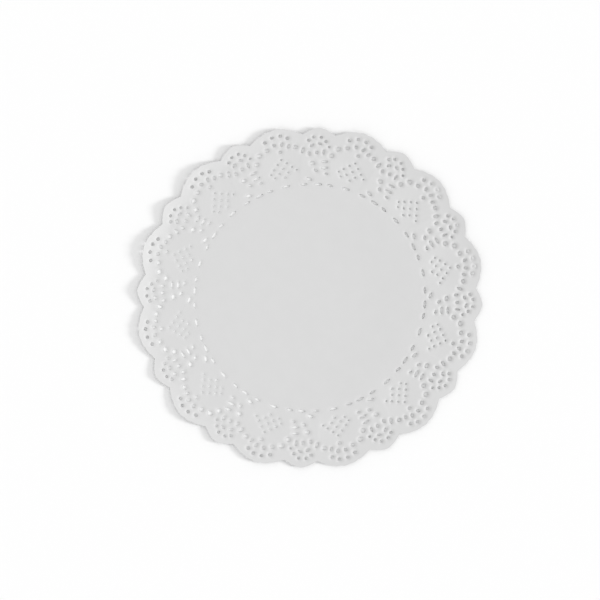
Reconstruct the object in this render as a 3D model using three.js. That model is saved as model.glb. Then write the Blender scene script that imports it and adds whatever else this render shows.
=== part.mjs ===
// A round paper doily: one sheet of die-cut paper with a plain centre, a lace border and a scalloped rim. The
// border is one repeat turned twelve times, and each repeat ends the rim in a wide lobe and a narrow one.
// Millimetres, +Z up. The origin is the middle of the underside, and +X runs through a wide lobe's middle.
import * as THREE from 'three';

// Driving sizes of the sheet
const diameter = 190;         // the longest way across
const thickness = 1;
const repeats = 12;
const wideLobe = 18.5;        // degrees of the rim, and the narrow lobe has the rest of the repeat

// The rim's distance from the centre, as a share of the radius
const valleyReach = 0.952;    // between two lobes
const wideTip = 1.0;
const narrowTip = 0.99;
const wideRoundness = 1.8;    // power of the lobe's curve: 1 is a straight-sided point and 2 a round arch
const narrowRoundness = 1.4;
const scallopPitch = 3.1;     // degrees: the small scallops along a wide lobe
const scallopDepth = 0.35;    // millimetres
const scallopsEachSide = 2;   // besides the one at the tip of the wide lobe
const narrowSteps = 8;        // sides that draw a narrow lobe

// The sheet is a little out of round: it is narrower one way
const narrowing = 0.02;
const narrowWay = 98.7;       // degrees

// The plain centre has no gaps. Its surface is drawn with rings of points.
const plainReach = 0.62;      // share of the radius
const plainSides = 3;         // sides of a ring in each repeat
const innerRings = [0.25, 0.45];

// How the sheet lies: it touches the surface over a round patch off its middle and bows up away from it
const patch = { angle: 180, reach: 0.21, radius: 44 };
const bow = { rise: 0.86, run: 70, power: 1.25 };

// Near the rim it curls up as well, most on one side: the mean height and how much it differs round the rim
const curl = { reach: 0.893, height: 0.85, swing: 0.85, crest: 145, power: 1.5 };
const rimWaves = [
  { waves: 3, height: 0.18, crest: 20 },
  { waves: 5, height: 0.12, crest: 4 },
  { waves: 7, height: 0.08, crest: 110 },
];

// The largest gaps of one repeat. Angle is in degrees from the middle of the lobe and reach is a share of
// the radius. Length and width are in millimetres. Lean is in degrees, by which the gap's anticlockwise end
// turns outwards.
const wideLobeGaps = [
  { angle: -3.9, reach: 0.939, length: 2.1, width: 1.9, lean: 0, sides: 6 },
  { angle: -1.6, reach: 0.957, length: 2.1, width: 2.0, lean: 0, sides: 6 },
  { angle: 1.3, reach: 0.957, length: 2.0, width: 1.8, lean: 0, sides: 6 },
  { angle: 4.1, reach: 0.94, length: 2.1, width: 1.9, lean: 0, sides: 6 },
  { angle: -6.35, reach: 0.882, length: 2.6, width: 2.2, lean: 0, sides: 8 },
  { angle: -3.9, reach: 0.891, length: 2.3, width: 1.7, lean: -60, sides: 6 },
  { angle: -1.6, reach: 0.908, length: 2.5, width: 1.8, lean: -60, sides: 6 },
  { angle: 1.2, reach: 0.911, length: 2.3, width: 1.8, lean: 50, sides: 6 },
  { angle: 4.2, reach: 0.893, length: 2.5, width: 2.2, lean: 10, sides: 8 },
  { angle: -0.5, reach: 0.866, length: 2.1, width: 1.8, lean: 0, sides: 6 },
  { angle: 0, reach: 0.663, length: 4.3, width: 1.5, lean: 0, sides: 8 },
];
const narrowLobeGaps = [
  { angle: 2.4, reach: 0.887, length: 2.5, width: 1.6, lean: -39, sides: 6 },
  { angle: -2.2, reach: 0.85, length: 2.9, width: 1.4, lean: 90, sides: 6 },
  { angle: 0.5, reach: 0.846, length: 2.1, width: 1.8, lean: 80, sides: 6 },
  { angle: 3.5, reach: 0.839, length: 2.3, width: 1.7, lean: 80, sides: 6 },
  { angle: -7.5, reach: 0.877, length: 3.0, width: 2.5, lean: -15, sides: 8 },
  { angle: -5.4, reach: 0.834, length: 2.6, width: 2.4, lean: 0, sides: 8 },
  { angle: 5.9, reach: 0.86, length: 3.2, width: 1.8, lean: -66, sides: 8 },
  { angle: 2.1, reach: 0.783, length: 2.8, width: 2.1, lean: 15, sides: 8 },
  { angle: -2.9, reach: 0.795, length: 3.7, width: 1.4, lean: -8, sides: 8 },
  { angle: -3.2, reach: 0.759, length: 3.9, width: 1.5, lean: -8, sides: 8 },
  { angle: 3.5, reach: 0.691, length: 3.3, width: 1.6, lean: 20, sides: 6 },
  { angle: -6.8, reach: 0.661, length: 3.3, width: 1.4, lean: 8, sides: 6 },
  { angle: -1, reach: 0.661, length: 4.4, width: 1.5, lean: 0, sides: 8 },
  { angle: 6.1, reach: 0.661, length: 3.5, width: 1.4, lean: 0, sides: 6 },
];

// The line along which two repeats meet runs through plain paper, clear of the gaps, out to the valley
// beside a wide lobe. Angle is in degrees from the middle of that lobe.
const seam = [
  { angle: -4.7, reach: plainReach },
  { angle: -6.6, reach: 0.7 },
  { angle: -7.8, reach: 0.8 },
  { angle: -8.0, reach: 0.88 },
  { angle: -wideLobe / 2, reach: valleyReach },
];

// Points drawn in the plain field behind a wide lobe, so that the surface bends evenly there
const fieldPoints = [
  { angle: -4.4, reach: 0.705 },
  { angle: -0.6, reach: 0.71 },
  { angle: 3.6, reach: 0.705 },
  { angle: 7.8, reach: 0.705 },
  { angle: -3.2, reach: 0.75 },
  { angle: 0.8, reach: 0.755 },
  { angle: 4.6, reach: 0.75 },
  { angle: 8.2, reach: 0.75 },
  { angle: -6.2, reach: 0.79 },
  { angle: -2, reach: 0.8 },
  { angle: 2.2, reach: 0.8 },
  { angle: 6.2, reach: 0.795 },
  { angle: -4.8, reach: 0.84 },
  { angle: -0.2, reach: 0.837 },
  { angle: 4.4, reach: 0.845 },
];

const radius = diameter / 2;
const repeatAngle = 360 / repeats;
const narrowLobe = repeatAngle - wideLobe;
const middle = new THREE.Vector2();
const narrowAxis = polar(narrowWay, 1).normalize();
const patchMiddle = polar(patch.angle, patch.reach);

function polar(angle, reach) {
  const turn = THREE.MathUtils.degToRad(angle);
  return new THREE.Vector2(Math.cos(turn), Math.sin(turn)).multiplyScalar(reach * radius);
}

function turnedBy(count, point) {
  return point.clone().rotateAround(middle, THREE.MathUtils.degToRad(count * repeatAngle));
}

// Distance of the rim from the centre at an angle from the middle of a lobe, without its small scallops
function lobeReach(angle, width, tip, roundness) {
  const share = Math.abs(angle) / (width / 2);
  return valleyReach + (tip - valleyReach) * (1 - share ** roundness);
}

// The rim of one repeat from valley to valley: the small scallops have a point at each tip and each notch
function rimPoints() {
  const points = [];
  const notches = 2 * scallopsEachSide + 1;
  for (let step = -notches; step <= notches; step += 1) {
    const angle = step * scallopPitch / 2;
    const isNotch = step % 2 !== 0;
    const reach = lobeReach(angle, wideLobe, wideTip, wideRoundness);
    points.push(polar(angle, reach - (isNotch ? scallopDepth / radius : 0)));
  }
  for (let step = 0; step < narrowSteps; step += 1) {
    const angle = (step / narrowSteps - 0.5) * narrowLobe;
    points.push(polar(repeatAngle / 2 + angle, lobeReach(angle, narrowLobe, narrowTip, narrowRoundness)));
  }
  return points;
}

// The outline of one gap, clockwise: an ellipse of a few sides
function gapPoints(gap, lobeAngle) {
  const lengthways = THREE.MathUtils.degToRad(lobeAngle + gap.angle + 90 - gap.lean);
  return Array.from({ length: gap.sides }, (_, side) => {
    const turn = -2 * Math.PI * side / gap.sides;
    const point = new THREE.Vector2(Math.cos(turn) * gap.length / 2, Math.sin(turn) * gap.width / 2);
    return point.rotateAround(middle, lengthways).add(polar(lobeAngle + gap.angle, gap.reach));
  });
}

// Height of the underside above the surface at a point of the round drawing
function liftAt(point) {
  const fromPatch = Math.max(0, point.distanceTo(patchMiddle) - patch.radius);
  const bowed = bow.rise * (fromPatch / bow.run) ** bow.power;
  const share = Math.max(0, (point.length() / radius - curl.reach) / (1 - curl.reach));
  const waveAt = (waves, crest) =>
    Math.cos(waves * (point.angle() - THREE.MathUtils.degToRad(crest)));
  const uneven = rimWaves.reduce((sum, wave) => sum + wave.height * waveAt(wave.waves, wave.crest), 0);
  const curled = curl.height + curl.swing * waveAt(1, curl.crest) + uneven;
  return bowed + curled * share ** curl.power;
}

// Where a point of the round drawing lies on the sheet, which is a little out of round
function narrowed(point) {
  return point.clone().addScaledVector(narrowAxis, -narrowing * point.dot(narrowAxis));
}

// Turns the side that two triangles share, wherever that makes the pair less slender
function evened(faces, points) {
  const spread = (apex, a, b) =>
    points[a].clone().sub(points[apex]).angleTo(points[b].clone().sub(points[apex]));
  let isEven = false;
  while (!isEven) {
    isEven = true;
    const owners = new Map();
    faces.forEach((face) => {
      face.forEach((corner, index) => owners.set(`${corner} ${face[(index + 1) % 3]}`, face));
    });
    const changed = new Set();
    owners.forEach((face, side) => {
      const [a, b] = side.split(' ').map(Number);
      const other = owners.get(`${b} ${a}`);
      if (!other || changed.has(face) || changed.has(other)) {
        return;
      }
      const c = face.find((corner) => corner !== a && corner !== b);
      const d = other.find((corner) => corner !== a && corner !== b);
      if (spread(c, a, b) + spread(d, a, b) > Math.PI + 1e-6) {
        face.splice(0, 3, a, d, c);
        other.splice(0, 3, d, b, c);
        changed.add(face).add(other);
        isEven = false;
      }
    });
  }
  return faces;
}

// One repeat of the sheet seen from above, as its points, its triangles and the loops that its walls follow.
// Each point is one of the repeat's own, or one that the next repeat's seam has, which is one repeat ahead.
function planOfRepeat() {
  const own = (points) => points.map((point) => ({ point, ahead: 0 }));
  const ringAt = (reach) => {
    const ring = own(Array.from({ length: plainSides }, (_, step) =>
      polar(seam[0].angle + repeatAngle * step / plainSides, reach)));
    return [...ring, { ...ring[0], ahead: 1 }];
  };
  const rings = [...innerRings, plainReach].map(ringAt);
  const outerRing = rings.at(-1);
  const start = [outerRing[0], ...own(seam.slice(1).map((row) => polar(row.angle, row.reach)))];
  const rim = own(rimPoints());
  const end = start.map((place) => ({ ...place, ahead: 1 })).reverse();
  const gaps = [
    ...wideLobeGaps.map((gap) => own(gapPoints(gap, 0))),
    ...narrowLobeGaps.map((gap) => own(gapPoints(gap, repeatAngle / 2))),
  ];
  const field = own(fieldPoints.map((row) => polar(row.angle, row.reach)));
  const contour = [...start, ...rim, ...end, ...outerRing.slice(1, -1).reverse()];
  const inside = [...gaps, ...field.map((place) => [place])];
  const border = [...contour, ...inside.flat()];
  const flat = (line) => line.map(({ point, ahead }) => turnedBy(ahead, point));
  const slender = THREE.ShapeUtils.triangulateShape(flat(contour), inside.map(flat));
  const faces = evened(slender, flat(border)).map((face) => face.map((index) => border[index]));
  rings.slice(1).forEach((ring, index) => {
    const inner = rings[index];
    for (let side = 0; side < plainSides; side += 1) {
      faces.push([inner[side], ring[side], ring[side + 1]]);
      faces.push([inner[side], ring[side + 1], inner[side + 1]]);
    }
  });
  const points = [...rings.flat(), ...border].map((place) => place.point);
  return {
    ownPoints: [...new Set(points)],
    faces,
    gaps,
    rimLine: [start.at(-1), ...rim, end[0]],
    innerRing: rings[0],
  };
}

// The sheet as one closed body: a lower and an upper face with the same triangles, and walls at the rim and
// in the gaps. Inside the innermost ring is a fan of triangles about the middle point, the first of a layer.
function sheetGeometry() {
  const { ownPoints, faces, gaps, rimLine, innerRing } = planOfRepeat();
  const layer = 1 + ownPoints.length * repeats;
  const positions = new Float32Array(2 * layer * 3);
  const triangles = [];

  const numberOf = (repeat, place) =>
    1 + ((repeat + place.ahead) % repeats) * ownPoints.length + ownPoints.indexOf(place.point);

  const setPoint = (number, point) => {
    const { x, y } = narrowed(point);
    const z = liftAt(point);
    positions.set([x, y, z], number * 3);
    positions.set([x, y, z + thickness], (layer + number) * 3);
  };

  const addFaces = (a, b, c) => triangles.push(layer + a, layer + b, layer + c, c, b, a);

  const addWall = (from, to) => triangles.push(from, to, layer + to, from, layer + to, layer + from);

  setPoint(0, middle);
  for (let repeat = 0; repeat < repeats; repeat += 1) {
    ownPoints.forEach((point, index) => {
      setPoint(1 + repeat * ownPoints.length + index, turnedBy(repeat, point));
    });
    const number = (place) => numberOf(repeat, place);
    faces.forEach((face) => addFaces(...face.map(number)));
    innerRing.slice(1).forEach((place, index) => addFaces(0, number(innerRing[index]), number(place)));
    rimLine.slice(1).forEach((place, index) => addWall(number(rimLine[index]), number(place)));
    gaps.forEach((gap) => {
      gap.forEach((place, index) => addWall(number(gap.at(index - 1)), number(place)));
    });
  }

  const geometry = new THREE.BufferGeometry();
  geometry.setAttribute('position', new THREE.BufferAttribute(positions, 3));
  geometry.setIndex(triangles);
  geometry.computeVertexNormals();
  return geometry;
}

const paper = new THREE.MeshStandardMaterial({
  color: 0xdadada,
  roughness: 0.85,
  metalness: 0,
  flatShading: true,
});

const sheet = new THREE.Mesh(sheetGeometry(), paper);
sheet.name = 'doily_sheet';

const doily = new THREE.Group();
doily.name = 'paper_doily';
doily.add(sheet);

export default doily;
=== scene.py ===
"""A round paper doily, die-cut and embossed, lying on a plain pale surface.

One repeat of the lace is drawn flat and turned twelve times, and the whole is raised into its relief and its
lift off the surface. The drawing is in millimetres and degrees, and a reach is a share of the radius.
"""

import math
from collections import defaultdict, namedtuple

import bpy
import numpy as np
from mathutils.geometry import delaunay_2d_cdt
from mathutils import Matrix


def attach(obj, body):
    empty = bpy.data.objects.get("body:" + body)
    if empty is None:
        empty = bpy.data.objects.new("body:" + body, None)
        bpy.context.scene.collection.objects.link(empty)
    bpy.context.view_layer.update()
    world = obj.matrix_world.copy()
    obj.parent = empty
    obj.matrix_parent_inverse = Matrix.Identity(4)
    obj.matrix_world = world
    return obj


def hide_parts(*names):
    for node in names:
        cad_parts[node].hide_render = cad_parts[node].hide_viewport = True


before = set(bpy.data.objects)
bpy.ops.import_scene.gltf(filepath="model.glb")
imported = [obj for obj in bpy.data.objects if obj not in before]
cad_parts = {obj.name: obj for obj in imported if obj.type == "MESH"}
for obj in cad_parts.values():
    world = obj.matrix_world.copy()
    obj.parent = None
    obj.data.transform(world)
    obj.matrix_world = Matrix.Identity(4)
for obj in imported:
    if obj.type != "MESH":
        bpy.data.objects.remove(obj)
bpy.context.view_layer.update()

MM = 0.001
NODE = "doily_sheet"
RADIUS = 95.0
THICKNESS = 0.12

# It is a little out of round, narrower one way
NARROWING = 0.02
NARROW_WAY = 98.7

# The repeat and its two lobes
REPEATS = 12
REPEAT = 360 / REPEATS
WIDE = 18.5
NARROW = REPEAT - WIDE
VALLEY_REACH = 0.952
WIDE_TIP = 1.0
NARROW_TIP = 0.99
WIDE_ROUNDNESS = 1.8
NARROW_ROUNDNESS = 1.4
SCALLOP_PITCH = 3.1
SCALLOP_DEPTH = 0.35

# The line along which two repeats meet, as angles from the middle of a wide lobe and reaches
SEAM = [(-4.7, 0.62), (-6.6, 0.7), (-7.8, 0.8), (-8.0, 0.88), (-WIDE / 2, VALLEY_REACH)]

# Every gap of a repeat: its angle from the middle of its lobe, its reach, its length and width in
# millimetres, and its lean, the degrees by which its anticlockwise end turns outwards
Gap = namedtuple("Gap", "angle reach length width lean")
WIDE_GAPS = [
    Gap(-3.9, 0.939, 2.1, 1.9, 0),
    Gap(-1.6, 0.957, 2.1, 2.0, 0),
    Gap(1.3, 0.957, 2.0, 1.8, 0),
    Gap(4.1, 0.94, 2.1, 1.9, 0),
    Gap(-6.35, 0.882, 2.6, 2.2, 0),
    Gap(-3.9, 0.891, 2.3, 1.7, -60),
    Gap(-1.6, 0.908, 2.5, 1.8, -60),
    Gap(1.2, 0.911, 2.3, 1.8, 50),
    Gap(4.2, 0.893, 2.5, 2.2, 10),
    Gap(-0.5, 0.866, 2.1, 1.8, 0),
    Gap(-0.3, 0.82, 1.2, 1.0, 0),
    Gap(1.6, 0.797, 1.3, 1.1, 0),
    Gap(-2.2, 0.795, 1.2, 1.0, 0),
    Gap(3.6, 0.772, 1.5, 1.2, 0),
    Gap(-0.3, 0.768, 1.4, 1.1, 0),
    Gap(-4.2, 0.769, 1.3, 1.1, 0),
    Gap(5.4, 0.75, 1.0, 0.8, 30),
    Gap(-6.0, 0.749, 1.0, 0.8, -30),
    Gap(1.8, 0.743, 1.4, 1.0, 20),
    Gap(-2.2, 0.741, 1.3, 1.0, -20),
    Gap(4.1, 0.725, 1.1, 0.8, 20),
    Gap(-0.4, 0.715, 1.5, 1.1, 0),
    Gap(0.0, 0.663, 4.3, 1.5, 0),
]
NARROW_GAPS = [
    Gap(-2.6, 0.912, 1.7, 1.7, 0),
    Gap(-0.8, 0.935, 1.7, 1.7, 0),
    Gap(1.8, 0.935, 1.8, 1.6, 0),
    Gap(3.6, 0.917, 1.9, 1.7, 0),
    Gap(-4.0, 0.882, 1.5, 1.3, 0),
    Gap(-0.5, 0.897, 2.5, 1.4, 20),
    Gap(2.4, 0.887, 2.5, 1.6, -39),
    Gap(-2.2, 0.85, 2.9, 1.4, 90),
    Gap(0.5, 0.846, 2.1, 1.8, 80),
    Gap(3.5, 0.839, 2.3, 1.7, 80),
    Gap(-7.5, 0.877, 3.0, 2.5, -15),
    Gap(-5.4, 0.834, 2.6, 2.4, 0),
    Gap(5.9, 0.86, 3.2, 1.8, -66),
    Gap(2.1, 0.783, 2.8, 2.1, 15),
    Gap(0.6, 0.741, 2.2, 1.5, 35),
    Gap(-2.9, 0.795, 3.7, 1.4, -8),
    Gap(-3.2, 0.759, 3.9, 1.5, -8),
    Gap(-4.2, 0.726, 2.0, 1.2, 10),
    Gap(3.5, 0.691, 3.3, 1.6, 20),
    Gap(-6.8, 0.661, 3.3, 1.4, 8),
    Gap(-1.0, 0.661, 4.4, 1.5, 0),
    Gap(6.1, 0.661, 3.5, 1.4, 0),
]
GAPS = [(gap, 0.0) for gap in WIDE_GAPS] + [(gap, REPEAT / 2) for gap in NARROW_GAPS]

# Keeps a point in the middle of a gap from a division by nothing
LEAST_SHARE = 0.01

# Fineness of the mesh, in millimetres between points
RIM_PITCH = 0.5
SEAM_PITCH = 0.75
GAP_PITCH = 0.38
LACE_PITCH = 0.78

# Fewest sides of a gap, and how much farther apart the points are for each millimetre away from its edge
GAP_SIDES = 10
GAP_PITCH_GROWTH = 0.25

# The reach at which the even rows of the lace start, and how many points they go on for past the rim
LACE_START = 0.6
SPARE_POINTS = 2

# Each step between rings of points in the plain centre is this many times the one outside it
CENTRE_GROWTH = 1.22

# Edges that bend by more degrees than this are drawn sharp
SHARP_ANGLE = 50

# What the triangulation gives: the triangles inside the contour, with points this close taken as one
INSIDE_CONTOUR = 1
SAME_POINT = 1e-6

# Lines of points that follow the gaps and the rim: how far each is from them, and the room a point needs
GAP_LINES = [(0.32, 0.3), (0.72, 0.42)]
GAP_LINE_MARGIN = 0.25
RIM_LINES = [(0.4, 0.36), (0.8, 0.36), (1.25, 0.36), (1.75, 0.36)]
RIM_LINE_MARGIN = 0.3
RIM_LINE_OVERLAP = 2

# Points between the lines: how far they stay from gaps and rim, and their room as a share of their pitch
FIELD_MARGIN = 0.4
LACE_ROOM = 0.72
CENTRE_ROOM = 0.5

# The relief of the lace: it rises under the plain centre and stands highest on one side of the sheet
EMBOSS = 0.24
EMBOSS_SWING = 0.09
EMBOSS_CREST = -22
EMBOSS_START = 0.3
EMBOSS_END = 0.66

# The relief dips to each gap, over this distance, by a share that goes with the gap's reach
DIP_RUN = 0.6
DIP_SHARES = [(0.66, 0.4), (0.7, 1.0)]

# The round field of small gaps below the tip of each wide lobe lies a little lower
SUNK_REACH = 0.772
SUNK_RUN = 8.5
SUNK_SHARE = 0.38

# How the sheet lies: it touches the surface over a round patch off its middle and bows up away from it
PATCH_ANGLE = 180
PATCH_REACH = 0.21
PATCH_RADIUS = 44.0
BOW_RISE = 0.86
BOW_RUN = 70.0
BOW_POWER = 1.25

# Near the rim it curls up as well, most on one side, and unevenly
CURL_REACH = 0.893
CURL_HEIGHT = 0.85
CURL_SWING = 0.85
CURL_CREST = 145
CURL_POWER = 1.5
Wave = namedtuple("Wave", "waves height crest")
RIM_WAVES = [Wave(3, 0.18, 20), Wave(5, 0.12, 4), Wave(7, 0.08, 110)]

# The paper: its tone, the faint clouding of it, and the fine tooth of its fibres
PAPER_TONE = 0.645
PAPER_CLOUDING = 0.985
PAPER_ROUGHNESS = 0.82
PAPER_SHINE = 0.25
CLOUD_SCALE = 120
CLOUD_DETAIL = 4
CLOUD_RANGE = (0.3, 0.7)
FIBRE_SCALE = 2600
FIBRE_DETAIL = 3
FIBRE_STRENGTH = 0.12
FIBRE_HEIGHT = 0.00005

# The floor: its size and how far it lies below the sheet, in metres, and its finish
FLOOR_SIZE = 3.0
FLOOR_DROP = 0.00005
FLOOR_TONE = 0.9
FLOOR_ROUGHNESS = 0.9
FLOOR_SHINE = 0.1

# Where the sheet is in the photograph, in pixels, and how far it is turned there
PHOTO_SIZE = 600
PHOTO_CENTRE = (309.85, 297.7)
PHOTO_RADIUS = 174.8
PHOTO_TURN = 12.2

# A long lens, in millimetres, so that the view is nearly straight, and how far the camera sees, in metres
LENS = 200
FARTHEST = 10

# A low light from the photograph's right, its place and softness in degrees, and an even one all round
KEY_ANGLE = -5
KEY_HEIGHT = 17
KEY_SOFTNESS = 12
KEY_STRENGTH = 2.27
FILL_STRENGTH = 0.893


def polar(angle, reach):
    """The points at those angles and reaches."""
    turn = np.radians(angle)
    return np.stack([np.cos(turn), np.sin(turn)], -1) * (np.asarray(reach) * RADIUS)[..., None]


def turned(points, degrees):
    """The points turned anticlockwise about the middle of the sheet."""
    turn = math.radians(degrees)
    matrix = np.array([[math.cos(turn), math.sin(turn)], [-math.sin(turn), math.cos(turn)]])
    return points @ matrix


def angle_of(points):
    return np.degrees(np.arctan2(points[:, 1], points[:, 0]))


def distance(points, place=(0, 0)):
    return np.hypot(*(points - place).T)


def from_lobe(angle):
    """Degrees from the middle of the nearest wide lobe, and from the middle of the nearest narrow one."""
    wide = (np.asarray(angle) + REPEAT / 2) % REPEAT - REPEAT / 2
    return wide, np.abs(wide) - REPEAT / 2


def rim_reach(angle):
    """The rim's reach, scallops and all."""
    wide, narrow = from_lobe(angle)
    wide_part = 1 - np.minimum(1, np.abs(wide) / (WIDE / 2)) ** WIDE_ROUNDNESS
    narrow_part = 1 - np.minimum(1, np.abs(narrow) / (NARROW / 2)) ** NARROW_ROUNDNESS
    along = wide / SCALLOP_PITCH
    scallop = (np.abs(np.cos(np.pi * along)) - 1) * SCALLOP_DEPTH / RADIUS
    ends = np.clip((WIDE / 2 - np.abs(wide)) / SCALLOP_PITCH, 0, 1)
    in_wide = VALLEY_REACH + (WIDE_TIP - VALLEY_REACH) * wide_part + scallop * ends
    in_narrow = VALLEY_REACH + (NARROW_TIP - VALLEY_REACH) * narrow_part
    return np.where(np.abs(wide) < WIDE / 2, in_wide, in_narrow)


def along_line(points, pitch):
    """Points at about that pitch along a line, its corners kept."""
    made = [points[0]]
    for start, end in zip(points[:-1], points[1:]):
        count = max(1, round(float(np.linalg.norm(end - start)) / pitch))
        made += [start + (end - start) * step / count for step in range(1, count + 1)]
    return np.array(made)


def centre_reaches():
    """Reaches of the rings of points in the plain centre, closer together towards the lace."""
    reaches, pitch = [], LACE_PITCH
    reach = SEAM[0][1] * RADIUS - pitch
    while reach > pitch:
        reaches.append(reach / RADIUS)
        pitch *= CENTRE_GROWTH
        reach -= pitch
    return np.array([0.0] + reaches[::-1])


def seam_line():
    """From the centre out to the valley beside a wide lobe, through plain paper."""
    reaches = centre_reaches()
    inner = polar(np.full(len(reaches), SEAM[0][0]), reaches)
    return np.concatenate([inner, along_line(polar(*np.array(SEAM).T), SEAM_PITCH)])


def seam_angle(reach):
    angles, reaches = np.array(SEAM).T
    return np.interp(reach, reaches, angles)


def rim_line():
    """The rim of one repeat, without its two valleys."""
    start = SEAM[-1][0]
    count = round(math.radians(REPEAT) * RADIUS / RIM_PITCH)
    angles = start + np.arange(1, count) * REPEAT / count
    return polar(angles, rim_reach(angles))


def gap_axes(gap, lobe):
    """Middle of a gap and the directions of its length and its width."""
    lengthways = math.radians(lobe + gap.angle + 90 - gap.lean)
    along = np.array([math.cos(lengthways), math.sin(lengthways)])
    return polar(lobe + gap.angle, gap.reach), along, np.array([-along[1], along[0]])


def gap_line(gap, lobe, outwards=0.0, pitch=GAP_PITCH):
    """The gap's outline, or a line that far outside it."""
    middle, along, across = gap_axes(gap, lobe)
    half_length, half_width = gap.length / 2 + outwards, gap.width / 2 + outwards
    count = max(GAP_SIDES, round(math.pi * (half_length + half_width) / pitch))
    turns = np.arange(count) * 2 * math.pi / count
    lengthways, sideways = half_length * np.cos(turns), half_width * np.sin(turns)
    return middle + np.outer(lengthways, along) + np.outer(sideways, across)


def gap_distance(points, gap, lobe):
    """Distance of points from the gap's edge, less than nothing inside it."""
    middle, along, across = gap_axes(gap, lobe)
    place = points - middle
    lengthways, sideways = place @ along, place @ across
    share = np.hypot(lengthways / (gap.length / 2), sideways / (gap.width / 2))
    return np.hypot(lengthways, sideways) * (1 - 1 / np.maximum(share, LEAST_SHARE))


class Spacer:
    """Keeps points that have room round them, sorted into square cells."""

    # A cell's side, in millimetres
    CELL = 0.5

    def __init__(self):
        self.points = []
        self.cells = defaultdict(list)

    def cell_of(self, point):
        return int(point[0] // self.CELL), int(point[1] // self.CELL)

    def add(self, points):
        for point in points:
            self.cells[self.cell_of(point)].append(point)
            self.points.append(point)

    def has_room(self, point, room):
        reach = int(room // self.CELL) + 1
        column, row = self.cell_of(point)
        for x in range(column - reach, column + reach + 1):
            for y in range(row - reach, row + reach + 1):
                for other in self.cells.get((x, y), ()):
                    if (other[0] - point[0]) ** 2 + (other[1] - point[1]) ** 2 < room * room:
                        return False
        return True

    def add_spaced(self, points, room):
        for point in points:
            if self.has_room(point, room):
                self.add([point])


def inside_repeat(points, margin):
    """Which points lie within the repeat, that far from its rim and gaps."""
    angle, reach = angle_of(points), distance(points) / RADIUS
    from_seam = (angle - seam_angle(reach)) % 360
    keep = (from_seam > 0) & (from_seam < REPEAT) & (reach < rim_reach(angle) - margin / RADIUS)
    for gap, lobe in GAPS:
        keep &= gap_distance(points, gap, lobe) > margin
    return points[keep]


def add_lines_round_gaps(spacer):
    for outwards, room in GAP_LINES:
        for gap, lobe in GAPS:
            line = gap_line(gap, lobe, outwards, GAP_PITCH + outwards * GAP_PITCH_GROWTH)
            spacer.add_spaced(inside_repeat(line, GAP_LINE_MARGIN), room)


def add_lines_inside_rim(spacer):
    width = REPEAT + 2 * RIM_LINE_OVERLAP
    count = round(math.radians(width) * RADIUS / RIM_PITCH)
    angles = np.linspace(0, width, count) + SEAM[-1][0] - RIM_LINE_OVERLAP
    for inset, room in RIM_LINES:
        line = polar(angles, rim_reach(angles) - inset / RADIUS)
        spacer.add_spaced(inside_repeat(line, RIM_LINE_MARGIN), room)


def add_rows_in_lace(spacer):
    """Rows of even triangles over the lace."""
    steps = int(RADIUS / LACE_PITCH) + SPARE_POINTS
    rows = [((column + row % 2 / 2) * LACE_PITCH, row * LACE_PITCH * math.sqrt(3) / 2)
            for row in range(-steps, steps) for column in range(steps)]
    grid = np.array(rows)
    grid = grid[distance(grid) > LACE_START * RADIUS]
    spacer.add_spaced(inside_repeat(grid, FIELD_MARGIN), LACE_PITCH * LACE_ROOM)


def add_rings_in_centre(spacer):
    reaches = centre_reaches()
    for inner, outer in zip(reaches[1:-1], reaches[2:]):
        pitch = (outer - inner) * RADIUS
        count = max(1, round(math.radians(REPEAT) * inner * RADIUS / pitch))
        angles = SEAM[0][0] + np.arange(1, count) * REPEAT / count
        ring = polar(angles, np.full(len(angles), inner))
        spacer.add_spaced(inside_repeat(ring, FIELD_MARGIN), pitch * CENTRE_ROOM)


def draw_repeat():
    """One repeat, drawn flat: its points and triangles, and the numbers of the points on its two seams."""
    start = seam_line()
    end = turned(start, REPEAT)
    rim = rim_line()
    contour = np.concatenate([start, rim, end[:0:-1]])
    spacer = Spacer()
    spacer.add(contour)
    edges = [(place, (place + 1) % len(contour)) for place in range(len(contour))]
    for gap, lobe in GAPS:
        first = len(spacer.points)
        outline = gap_line(gap, lobe)
        spacer.add(outline)
        edges += [(first + side, first + (side + 1) % len(outline)) for side in range(len(outline))]
    add_lines_round_gaps(spacer)
    add_lines_inside_rim(spacer)
    add_rows_in_lace(spacer)
    add_rings_in_centre(spacer)
    flat = [tuple(point) for point in spacer.points]
    made = delaunay_2d_cdt(flat, edges, [list(range(len(contour)))], INSIDE_CONTOUR, SAME_POINT)
    points = np.array([tuple(point) for point in made[0]])
    triangles = np.array(made[2])
    new_place = {old: place for place, olds in enumerate(made[3]) for old in olds}
    middles = points[triangles].mean(1)
    keep = np.ones(len(triangles), bool)
    for gap, lobe in GAPS:
        keep &= gap_distance(middles, gap, lobe) > 0
    first_end = len(start) + len(rim)
    start_places = [new_place[place] for place in range(len(start))]
    end_places = [new_place[0]] + [new_place[place] for place in range(len(contour) - 1, first_end - 1, -1)]
    return points, triangles[keep], np.array(start_places), np.array(end_places)


def smooth_step(value, low, high):
    share = np.clip((value - low) / (high - low), 0, 1)
    return share * share * (3 - 2 * share)


def relief(points):
    """For points of one repeat, the share of the embossing's height and the share by which they are sunk."""
    dipped = np.zeros(len(points))
    for shift in (-REPEAT, 0, REPEAT):
        near = turned(points, -shift)
        for gap, lobe in GAPS:
            away = np.maximum(0, gap_distance(near, gap, lobe))
            share = np.interp(gap.reach, *np.array(DIP_SHARES).T)
            dipped = np.maximum(dipped, share * np.exp(-(away / DIP_RUN) ** 2))
    raised = smooth_step(distance(points) / RADIUS, EMBOSS_START, EMBOSS_END) * (1 - dipped)
    to_field = distance(points, polar(0.0, SUNK_REACH))
    return np.stack([raised, SUNK_SHARE * np.exp(-(to_field / SUNK_RUN) ** 2)])


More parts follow.
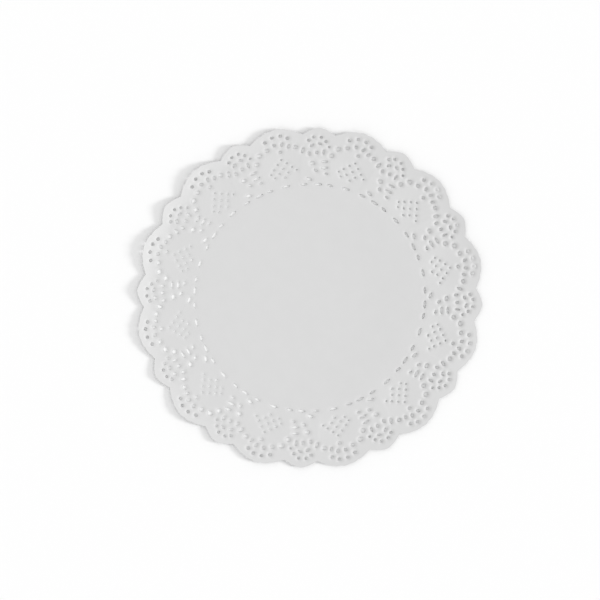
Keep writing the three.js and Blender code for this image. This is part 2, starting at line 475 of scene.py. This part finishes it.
def lift(points):
    """Height of the underside above the surface, without its relief."""
    angle, reach = angle_of(points), distance(points) / RADIUS
    from_patch = distance(points, polar(PATCH_ANGLE, PATCH_REACH))
    bowed = BOW_RISE * (np.maximum(0, from_patch - PATCH_RADIUS) / BOW_RUN) ** BOW_POWER
    share = np.maximum(0, (reach - CURL_REACH) / (1 - CURL_REACH))
    uneven = sum(wave.height * np.cos(np.radians(wave.waves * (angle - wave.crest))) for wave in RIM_WAVES)
    curled = CURL_HEIGHT + CURL_SWING * np.cos(np.radians(angle - CURL_CREST)) + uneven
    return bowed + curled * share ** CURL_POWER


def emboss_height(points):
    return EMBOSS + EMBOSS_SWING * np.cos(np.radians(angle_of(points) - EMBOSS_CREST))


def narrowed(points):
    """Where points of the round drawing lie on the sheet."""
    axis = polar(NARROW_WAY, 1 / RADIUS)
    return points - NARROWING * np.outer(points @ axis, axis)


def open_edges(triangles):
    """The edges that only one triangle has, in its direction."""
    edges = np.concatenate([triangles[:, [0, 1]], triangles[:, [1, 2]], triangles[:, [2, 0]]])
    known = {tuple(edge) for edge in edges.tolist()}
    return [edge for edge in edges.tolist() if (edge[1], edge[0]) not in known]


def make_sheet():
    """The whole sheet as a closed mesh of two layers joined at the rim and in the gaps."""
    points, triangles, start, end = draw_repeat()
    raised, sunk = np.tile(relief(points), REPEATS)
    count = len(points)
    centre = start[0]
    numbers = np.arange(count * REPEATS).reshape(REPEATS, count)
    for repeat in range(REPEATS):
        following = (repeat + 1) % REPEATS
        numbers[repeat, end] = following * count + start
        numbers[repeat, centre] = centre
    all_points = np.concatenate([turned(points, repeat * REPEAT) for repeat in range(REPEATS)])
    all_triangles = np.concatenate([numbers[repeat][triangles] for repeat in range(REPEATS)])
    used, all_triangles = np.unique(all_triangles, return_inverse=True)
    all_triangles = all_triangles.reshape(-1, 3)
    flat = all_points[used]
    under = (lift(flat) + emboss_height(flat) * raised[used]) * (1 - sunk[used])
    layer = len(flat)
    low = np.column_stack([narrowed(flat), under])
    high = np.column_stack([narrowed(flat), under + THICKNESS])
    faces = (all_triangles + layer).tolist() + all_triangles[:, ::-1].tolist()
    faces += [(a, b, b + layer, a + layer) for a, b in open_edges(all_triangles)]
    mesh = bpy.data.meshes.new("doily_paper")
    mesh.from_pydata((np.concatenate([low, high]) * MM).tolist(), [], faces)
    mesh.shade_smooth()
    mesh.set_sharp_from_angle(angle=math.radians(SHARP_ANGLE))
    mesh.validate()
    return bpy.data.objects.new("doily_paper", mesh)


def plain_material(name, tone, roughness, shine):
    material = bpy.data.materials.new(name)
    material.use_nodes = True
    shader = material.node_tree.nodes["Principled BSDF"]
    shader.inputs["Base Color"].default_value = (tone, tone, tone, 1)
    shader.inputs["Roughness"].default_value = roughness
    shader.inputs["Specular IOR Level"].default_value = shine
    return material, shader


def add_noise(material, place, scale, detail):
    noise = material.node_tree.nodes.new("ShaderNodeTexNoise")
    noise.inputs["Scale"].default_value = scale
    noise.inputs["Detail"].default_value = detail
    material.node_tree.links.new(place.outputs["Object"], noise.inputs["Vector"])
    return noise


def paper_material():
    """Matt white paper: faint clouding of its tone and a fine tooth of fibres."""
    material, shader = plain_material("embossed_paper", PAPER_TONE, PAPER_ROUGHNESS, PAPER_SHINE)
    nodes, links = material.node_tree.nodes, material.node_tree.links
    place = nodes.new("ShaderNodeTexCoord")
    cloud = add_noise(material, place, CLOUD_SCALE, CLOUD_DETAIL)
    ramp = nodes.new("ShaderNodeValToRGB")
    tones = (PAPER_TONE * PAPER_CLOUDING, PAPER_TONE)
    for stop, position, tone in zip(ramp.color_ramp.elements, CLOUD_RANGE, tones):
        stop.position = position
        stop.color = (tone, tone, tone, 1)
    links.new(cloud.outputs["Fac"], ramp.inputs["Fac"])
    links.new(ramp.outputs["Color"], shader.inputs["Base Color"])
    fibre = add_noise(material, place, FIBRE_SCALE, FIBRE_DETAIL)
    bump = nodes.new("ShaderNodeBump")
    bump.inputs["Strength"].default_value = FIBRE_STRENGTH
    bump.inputs["Distance"].default_value = FIBRE_HEIGHT
    links.new(fibre.outputs["Fac"], bump.inputs["Height"])
    links.new(bump.outputs["Normal"], shader.inputs["Normal"])
    return material


def link(thing):
    bpy.context.scene.collection.objects.link(thing)
    return thing


def add_doily():
    doily = link(make_sheet())
    doily.data.materials.append(paper_material())
    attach(doily, "root")
    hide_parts(NODE)


def add_floor():
    half = FLOOR_SIZE / 2
    corners = [(x * half, y * half, -FLOOR_DROP) for x, y in ((-1, -1), (1, -1), (1, 1), (-1, 1))]
    mesh = bpy.data.meshes.new("floor")
    mesh.from_pydata(corners, [], [(0, 1, 2, 3)])
    floor = link(bpy.data.objects.new("floor", mesh))
    material, shader = plain_material("plain_floor", FLOOR_TONE, FLOOR_ROUGHNESS, FLOOR_SHINE)
    floor.data.materials.append(material)


def add_camera():
    """Straight above, so that the sheet has the photograph's place, size and turn in the frame."""
    data = bpy.data.cameras.new("camera")
    data.lens = LENS
    data.clip_end = FARTHEST
    camera = link(bpy.data.objects.new("camera", data))
    pixel = RADIUS * MM / PHOTO_RADIUS
    turn = -math.radians(PHOTO_TURN)
    right = (PHOTO_SIZE / 2 - PHOTO_CENTRE[0]) * pixel
    up = (PHOTO_CENTRE[1] - PHOTO_SIZE / 2) * pixel
    camera.location = (
        right * math.cos(turn) - up * math.sin(turn),
        right * math.sin(turn) + up * math.cos(turn),
        PHOTO_SIZE * pixel * LENS / data.sensor_width,
    )
    camera.rotation_euler = (0, 0, turn)
    bpy.context.scene.camera = camera


def add_light():
    data = bpy.data.lights.new("key", "SUN")
    data.energy = KEY_STRENGTH
    data.angle = math.radians(KEY_SOFTNESS)
    key = link(bpy.data.objects.new("key", data))
    key.rotation_euler = (0, math.radians(90 - KEY_HEIGHT), math.radians(KEY_ANGLE - PHOTO_TURN))
    world = bpy.data.worlds.new("fill")
    world.use_nodes = True
    background = world.node_tree.nodes["Background"]
    background.inputs["Color"].default_value = (1, 1, 1, 1)
    background.inputs["Strength"].default_value = FILL_STRENGTH
    bpy.context.scene.world = world


bpy.context.scene.view_settings.view_transform = "Standard"
add_doily()
add_floor()
add_camera()
add_light()
